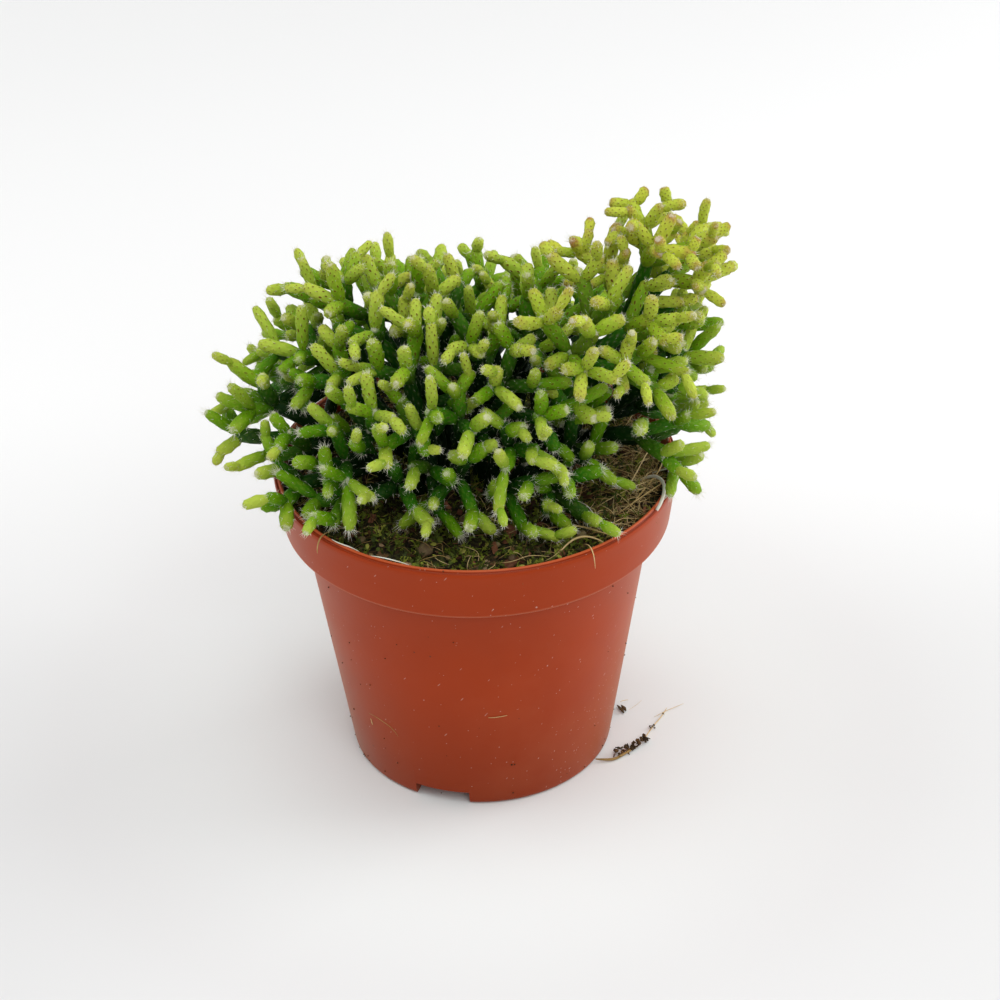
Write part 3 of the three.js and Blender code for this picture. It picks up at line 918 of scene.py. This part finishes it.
def grow_whorl(base, count, form, order, share=None):
    """Shoots round their parent's tip, or part way along it, each where it finds the most room."""
    full_radius, full_length, lean = form
    axis = base.way()
    root = inside_tip(base.a, base.b, full_radius) if share is None else base.a + (base.b - base.a) * share
    outward = unit(root - CROWN)
    first = draw(0, 2 * math.pi)
    grown = []
    for i in range(count):
        best = None
        for _ in range(WHORL_TRIES):
            turn = first + 2 * math.pi * i / count + draw(-0.45, 0.45)
            lean_by = lean * draw(0.72, 1.22)
            long = full_length * draw(0.7, 1.25)
            radius = full_radius * draw(0.9, 1.06)
            way = leaned(axis, lean_by, turn) + outward * 0.22
            way[2] += 0.1
            way = unit(way)
            crowded = any(shoots[kid].way() @ way > 0.6 for kid in base.kids)
            end = root + way * long
            row = beads_of(root, end)
            if way @ axis < -0.1 or crowded or not clear_of_pot(row, radius):
                continue
            least, tip = room_around(row, radius, [base.index, *base.kids])
            score = min(tip, 7) + 2 * (way @ outward)
            if least >= CLEARANCE and (best is None or score > best[0]):
                best = (score, end, radius)
        if best is not None:
            grown.append(Shoot(root, best[1], best[2], base.stem, order, base))
    return grown


def grow_stem(stem, rise, *heads):
    """A trunk that leaves the soil between the crown and its boughs, and forks into them."""
    heads = [np.array(head, float) for head in heads]
    middle = sum(head * (1 / len(heads)) for head in heads)
    trunk = []
    attempt = 0
    while not trunk:
        foot = CROWN + (middle - CROWN) * 0.42 + jitter(attempt * 0.25)
        foot[2] = SOIL_LEVEL - 8
        fork = foot + (middle - foot) * (0.25 + 0.011 * rise)
        fork[2] = SOIL_LEVEL + rise
        trunk = grow_bough(stem, foot, fork, TRUNK_RADIUS, None, [])
        attempt += 1
    start = inside_tip(trunk[-1].a, trunk[-1].b, TRUNK_RADIUS)
    kin = [trunk[-1].index]
    ends = []
    for head in heads:
        bough = grow_bough(stem, start, head, BOUGH_RADIUS, trunk[-1], kin)
        if bough:
            kin.append(bough[0].index)
            ends.append(bough[-1])
    return ends


ends = [end for stem, form in STEMS.items() for end in grow_stem(stem, *form)]
arms = [arm for end in ends for arm in grow_whorl(end, 3, ARM, 1)]
for arm in arms:
    grow_whorl(arm, 1 if draw(0, 1) < 0.35 else 2, TIP, 2)

# The youngest growth, too small and too many for the solids: more tips wherever a bough or
# an arm has room for them, side shoots on the boughs, and a short bud on some of the tips.
YOUNG = (2.15, 12.5, 1.05)
SIDE = (2.2, 15, 1.25)
SPRAY = (1.9, 7.6, 1.1)
BUD = (1.9, 7.4, 0.9)
LATE_BOUGHS = [
    ("right_arm", (50, 4, 114)), ("back_right", (36, 16, 118)), ("top_mid", (-5, 21, 120)),
    ("top_left", (-24, 30, 126)), ("left_upper", (-46, 20, 114)), ("back_left", (-38, 33, 121)),
    ("back_c", (12, 16, 118)), ("right_tall", (43, 12, 148)), ("right_tall", (60, 12, 144)),
    ("right_star", (50, 4, 138)), ("left_edge", (-62, -8, 112)), ("left_low", (-62, -4, 106)),
]
for stem, head in LATE_BOUGHS:
    trunk = next(shoot for shoot in shoots if shoot.stem == stem)
    while shoots[trunk.kids[0]].stem == stem and shoots[trunk.kids[0]].radius == TRUNK_RADIUS:
        trunk = shoots[trunk.kids[0]]
    start = inside_tip(trunk.a, trunk.b, TRUNK_RADIUS)
    bough = grow_bough(stem, start, np.array(head, float), 2.2, trunk, [trunk.index, *trunk.kids])
    if bough:
        for arm in grow_whorl(bough[-1], 3, ARM, 1):
            grow_whorl(arm, 2, TIP, 2)
SEASONS = 5
LOW_SEASONS = 2
UPPER_CANOPY = 128
for season in range(SEASONS):
    for shoot in list(shoots):
        if season >= LOW_SEASONS and shoot.b[2] < UPPER_CANOPY:
            continue
        if len(shoot.kids) < 5 and (shoot.order == 1 or shoot.order == 0 and shoot.b[2] > 101):
            grow_whorl(shoot, 1, YOUNG, 2)
for share in (0.8, 0.45):
    for shoot in list(shoots):
        if shoot.order == 0 and shoot.a[2] > SOIL_LEVEL:
            for young in grow_whorl(shoot, 2, SIDE, 1, share):
                grow_whorl(young, 2, YOUNG, 2)
for shoot in list(shoots):
    if shoot.stem == "right_tall" and (shoot.order == 1 or shoot.order == 2 and shoot.b[2] > 155):
        grow_whorl(shoot, 2, SPRAY, 2)
for shoot in list(shoots):
    if shoot.order == 2 and draw(0, 1) < 0.4:
        grow_whorl(shoot, 1, BUD, 3)


# The shoots: plump succulent segments, drawn in where they join and blunt at the tip, with
# slight bumps in staggered rows. Each bump carries a red-brown areole with one or two fine
# white bristles, and each tip a tuft of them. A stem's shoots grew together as one piece.
SHOOT_SIDES = 8
DOTS_A_SIDE = 1.5
SHOOT_FORMS = {
    "segment": (2.6, 24, [(0, 0.6), (0.11, 0.86), (0.24, 1), (0.38, 0.98), (0.52, 1), (0.66, 0.98),
                          (0.8, 0.98), (0.91, 0.86), (0.98, 0.55), (1, 0.25)]),
    "shoot": (2.3, 11, [(0, 0.5), (0.14, 0.68), (0.28, 0.94), (0.46, 1), (0.64, 1.01), (0.8, 0.97),
                        (0.92, 0.8), (0.985, 0.52), (1, 0.24)]),
    "bud": (1.85, 6.6, [(0, 0.55), (0.2, 0.8), (0.45, 1), (0.72, 0.98), (0.92, 0.76), (1, 0.3)]),
}
BRISTLES = {"segment": (0.7, 4, 1), "shaggy": (1, 22, 1.35), "shoot": (0.8, 16, 0.85), "bud": (0.9, 16, 1)}
BRISTLE_RADIUS = 0.058

bristle_hair = Finish("bristle_hair", {"IOR": 1.45, "Specular IOR Level": 0.3, "Roughness": 0.6})
shade = bristle_hair.noise(bristle_hair.place(), 160, 2)
bristle_hair.feed(Base_Color=bristle_hair.mixed(shade, (0.90, 0.89, 0.82), (0.72, 0.69, 0.55)))

skin_constants = {"IOR": 1.42, "Specular IOR Level": 0.12, "Subsurface Weight": 0.1}
skin_constants |= {"Subsurface Radius": (0.7, 1.0, 0.2), "Subsurface Scale": 1.6 * MM}
skin = Finish("rhipsalis_skin", skin_constants)
where = skin.place()
mottle = skin.noise(where, 300, 3, 0.6)
along = skin.kept("along")
blush = skin.kept("blush")
# The youth attribute holds age and painted shade and light: inner shoots darker, higher ones lighter.
age_and_shade = skin.kept("youth") + (along - 0.6) * 0.26 + (mottle - 0.5) * 0.22
colour = skin.ramp(age_and_shade, [
    (0.0, (0.002, 0.013, 0.002)), (0.25, (0.005, 0.046, 0.002)), (0.48, (0.024, 0.142, 0.001)),
    (0.70, (0.126, 0.296, 0.001)), (1.0, (0.415, 0.530, 0.060)),
])
grid = skin.node("ShaderNodeUVMap", {"uv_map": "rows"}, {})
flecks = skin.noise(skin.stretched(grid, (5, 1.6, 1)), 1.0, 3, 0.6)
flecks = skin.between(flecks, 0.56, 0.72)
colour = skin.mixed(flecks * age_and_shade * 0.26, colour, (0.60, 0.66, 0.16))
colour = skin.mixed(blush * 0.6, colour, (0.52, 0.54, 0.045))
stray = (skin.noise(skin.stretched(grid, (0.8, 0.8, 1)), 1.0, 1) - 0.5) * 0.9
column = skin.node("ShaderNodeSeparateXYZ", {}, {"Vector": grid}, "X") + stray
row = skin.node("ShaderNodeSeparateXYZ", {}, {"Vector": grid}, "Y") - stray
rising = (column + row) * 0.5
falling = (column - row) * 0.5
rising = rising - skin.node("ShaderNodeMath", {"operation": "ROUND"}, {0: rising})
falling = falling - skin.node("ShaderNodeMath", {"operation": "ROUND"}, {0: falling})
across = rising + falling
upwards = rising - falling
apart = (across * across + upwards * upwards) ** 0.5
spot = 1 - skin.between(apart + (mottle - 0.5) * 0.3, 0.12, 0.28)
halo = (1 - skin.between(apart, 0.25, 0.65)) * (1 - spot)
colour = skin.mixed(halo * age_and_shade * 0.18, colour, (0.50, 0.56, 0.10))
areole = skin.mixed(skin.between(age_and_shade, 0.3, 0.6), (0.11, 0.15, 0.08), (0.10, 0.013, 0.005))
rusty = skin.between(along + (mottle - 0.5) * 0.7, 0.7, 1.05) * blush
colour = skin.mixed(rusty * 0.75, colour, (0.36, 0.15, 0.055))
colour = skin.mixed(spot * skin.kept("dots"), colour, areole)
woolly = skin.between(along + (mottle - 0.5) * 0.4, 0.96, 1.05)
colour = skin.mixed(woolly * 0.6, colour, (0.70, 0.68, 0.54))
swell = halo * 0.7 + spot * 0.5 + mottle * 0.5
skin.feed(Base_Color=colour, Roughness=0.42 + mottle * 0.2, Normal=skin.bump(swell, 0.55, 0.00035))


bristle = spike("bristle", BRISTLE_RADIUS)
bristle.data.materials.append(bristle_hair.material)


def shoot_template(kind, hair, seed):
    """One shoot of a kind, upright at the origin in its mean size, with its areoles and bristles."""
    luck = random.Random(seed)
    radius, long, rings = SHOOT_FORMS[kind]
    often, tuft, shaggy = BRISTLES[hair]
    piece = turned(kind, [(radius * share, long * way) for way, share in rings], SHOOT_SIDES)
    piece.data.materials.append(skin.material)
    heights = [way * long * MM for way, _ in rings]
    belly = luck.uniform(0.02, 0.045) * long * MM
    sides, rows, hairs = {}, {}, []
    for vertex in piece.data.vertices:
        x, y, z = vertex.co
        side = math.floor(math.atan2(y, x) / math.tau * SHOOT_SIDES) % SHOOT_SIDES
        ring = min(range(len(heights)), key=lambda k: abs(heights[k] - z))
        sides[vertex.index], rows[vertex.index] = side, ring
        raised = (side + ring) % 2 == 0
        if 0 < ring < len(heights) - 1:
            swell = 1.05 if raised else 0.95
            swell *= luck.uniform(0.96, 1.04)
            vertex.co.x, vertex.co.y = x * swell, y * swell
            if raised and ring > 1:
                hairs.append((vertex.index, z / heights[-1]))
        vertex.co.x += belly * math.sin(math.pi * z / heights[-1])
    layer = piece.data.uv_layers.new(name="rows")
    for face in piece.data.polygons:
        far = {sides[v] for v in face.vertices}
        for loop, v in zip(face.loop_indices, face.vertices):
            side = SHOOT_SIDES if sides[v] == 0 and SHOOT_SIDES - 1 in far else sides[v]
            layer.data[loop].uv = (side * DOTS_A_SIDE, rows[v] * DOTS_A_SIDE)
    only(piece)
    bpy.ops.object.shade_smooth()
    parts = [piece]
    for index, way in hairs:
        vertex = piece.data.vertices[index]
        outward = Vector((vertex.co.x, vertex.co.y, 0)).normalized()
        for _ in range(luck.choice((1, 1, 2)) if luck.random() < often else 0):
            stray = Vector([luck.uniform(-0.9, 0.9) for _ in range(3)])
            lean = (outward + Vector((0, 0, luck.uniform(0.3, 1.6))) + stray).normalized()
            size = (1, 1, luck.uniform(0.5, 1.5) * shaggy)
            parts.append(copied(bristle, frame_on(vertex.co - lean * 0.1 * MM, lean, 0, size)))
    for _ in range(tuft):
        turn, off = luck.uniform(0, math.tau), radius * 0.6 * math.sqrt(luck.random())
        at = Vector((off * math.cos(turn) * MM, off * math.sin(turn) * MM, heights[-1]))
        at.z -= (off / radius) ** 2 * 1.3 * MM
        stray = Vector([luck.uniform(-0.8, 0.8) for _ in range(3)])
        lean = Vector((at.x / MM * 0.5, at.y / MM * 0.5, 1)) + stray
        size = (1.2, 1.2, luck.uniform(0.5, 2.2) * shaggy)
        parts.append(copied(bristle, frame_on(at - Vector((0, 0, 0.1 * MM)), lean, 0, size)))
    piece = joined(kind, parts)
    layer = piece.data.attributes.new("along", "FLOAT", "POINT")
    layer.data.foreach_set("value", [v.co.z / heights[-1] for v in piece.data.vertices])
    return piece


templates = {
    "segment": [shoot_template("segment", "segment", seed) for seed in (11, 12)],
    "shaggy": [shoot_template("shoot", "shaggy", seed) for seed in (21, 22, 23)],
    "shoot": [shoot_template("shoot", "shoot", seed) for seed in (24, 25, 26)],
    "bud": [shoot_template("bud", "bud", seed) for seed in (31, 32)],
}
YOUTH = {0: 0.06, 1: 0.30, 2: 0.63, 3: 0.84}
BLUSH = {"right_tall": 0.75, "right_star": 0.35, "top_left": 0.12, "left_edge": 0.10}
CANOPY_SHAPE = np.array((0.75, 1.0, 1.25))
CANOPY_REACH = 50
grown_stems = {}
for shoot in shoots:
    kind = {0: "segment", 3: "bud"}.get(shoot.order, "shoot")
    hair = "shaggy" if kind == "shoot" and shoot.b[2] < draw(112, 136) else kind
    template = templates[hair][int(draw(0, len(templates[hair])))]
    radius, long, _ = SHOOT_FORMS[kind]
    wide = shoot.radius / radius * draw(0.8, 0.96)
    matrix = frame_on(Vector(shoot.a * MM), shoot.b - shoot.a, draw(0, math.tau),
                      (wide, wide, span(shoot.b - shoot.a) / long))
    # Painted shade and light in the youth attribute: shoots deep inside the canopy get a darker green and
    # shoots higher up a lighter one, on top of their age by order and chance.
    outside = span((shoot.b - CROWN) * CANOPY_SHAPE) / CANOPY_REACH
    youth = YOUTH[shoot.order] + (min(outside, 1.05) - 0.92) * 0.9 + draw(-0.17, 0.17)
    youth += 0.16 * BLUSH.get(shoot.stem, 0) + max(0, shoot.b[2] - 126) * 0.003
    blushing = BLUSH.get(shoot.stem, 0) * draw(0.4, 1.2) + max(0, draw(-0.7, 0.25))
    blushing += max(0, shoot.b[2] - 128) * 0.005
    values = {"youth": youth, "blush": blushing * max(0, youth) if shoot.order > 0 else 0}
    values["dots"] = min(1, max(0.12, (shoot.b[2] - 112) / 38)) * draw(0.7, 1)
    grown_stems.setdefault(shoot.stem, []).append(copied(template, matrix, values))
cleared([bristle, *[template for kind in templates.values() for template in kind]])
for stem, copies in grown_stems.items():
    piece = joined(f"shoots_{stem}", copies)
    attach(piece, "root")
    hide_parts(f"stem_{stem}")


# The studio: a pale floor with painted shade towards the front, painted light round the pot
# and a painted glow far from it; a large soft light over the plant, weaker ones from the
# front and from each side, and a pale surround.
bpy.ops.object.select_all(action="DESELECT")
bpy.ops.mesh.primitive_grid_add(x_subdivisions=8, y_subdivisions=8, size=8, location=(0, 0, 0))
floor = bpy.context.object
floor.name = "floor"
paper = Finish("pale_paper", {"Roughness": 0.9, "Specular IOR Level": 0.1, "Emission Strength": 0.5})
aside = paper.node("ShaderNodeSeparateXYZ", {}, {"Vector": paper.place()}, "X")
depth = paper.node("ShaderNodeSeparateXYZ", {}, {"Vector": paper.place()}, "Y")
# Painted shade: the paper darkens towards the front, standing in for the light's falloff.
colour = paper.mixed(paper.between(depth, 0.02, 0.22), (0.735, 0.74, 0.745), (0.88, 0.885, 0.89))
distance = (aside * aside + depth * depth) ** 0.5
# Painted light: the paper is lighter and less pink close to the pot, cancelling its shadow and its reddish
# bounce light.
painted_light_near_pot = 1 - paper.between(distance, 0.06, 0.14)
# Painted glow: the paper far from the pot emits light, though it is no lamp.
far = paper.between(distance, 0.5, 1.8)
paper.feed(Base_Color=paper.mixed(painted_light_near_pot, colour, (0.845, 0.885, 0.885)),
           Emission_Color=paper.mixed(far, (0, 0, 0), (1, 1, 0.99)))
floor.data.materials.append(paper.material)
floor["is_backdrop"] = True

world = bpy.data.worlds.new("studio")
world.use_nodes = True
world.node_tree.nodes["Background"].inputs["Color"].default_value = (1.0, 0.99, 0.97, 1)
world.node_tree.nodes["Background"].inputs["Strength"].default_value = 0.33
bpy.context.scene.world = world


def soft_light(name, place, towards, width, watts):
    data = bpy.data.lights.new(name, "AREA")
    data.shape = "SQUARE"
    data.size = width
    data.energy = watts
    light = bpy.data.objects.new(name, data)
    bpy.context.collection.objects.link(light)
    light.visible_camera = False
    light.location = place
    light.rotation_euler = (Vector(towards) - Vector(place)).to_track_quat("-Z", "Y").to_euler()


soft_light("overhead", (0.03, -0.02, 1.25), (0, 0, 0.05), 1.6, 13)
soft_light("front", (0.3, -1.0, 0.9), (0, 0, 0.08), 0.7, 4)
soft_light("right_panel", (1.1, 0.3, 0.3), (0, 0, 0.08), 0.8, 9)
soft_light("left_panel", (-1.2, 0.3, 0.35), (0, 0, 0.08), 1.0, 5)

# The camera stands 33 degrees above the horizon with a long lens.
EYE = (6.99 * MM, -701.5 * MM, 544.7 * MM)
DOWN = math.radians(33.3)
ROLL = math.radians(-1.21)
lens = bpy.data.cameras.new("camera")
lens.lens = 100.8
lens.sensor_width = 36
lens.clip_start = 0.05
camera = bpy.data.objects.new("camera", lens)
bpy.context.collection.objects.link(camera)
back = Vector((0, -math.cos(DOWN), math.sin(DOWN)))
level = Vector((1, 0, 0))
above = Vector((0, math.sin(DOWN), math.cos(DOWN)))
right = level * math.cos(ROLL) + above * math.sin(ROLL)
upward = above * math.cos(ROLL) - level * math.sin(ROLL)
camera.matrix_world = Matrix.Translation(EYE) @ Matrix((right, upward, back)).transposed().to_4x4()
bpy.context.scene.camera = camera
bpy.context.scene.view_settings.view_transform = "Standard"

low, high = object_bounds()
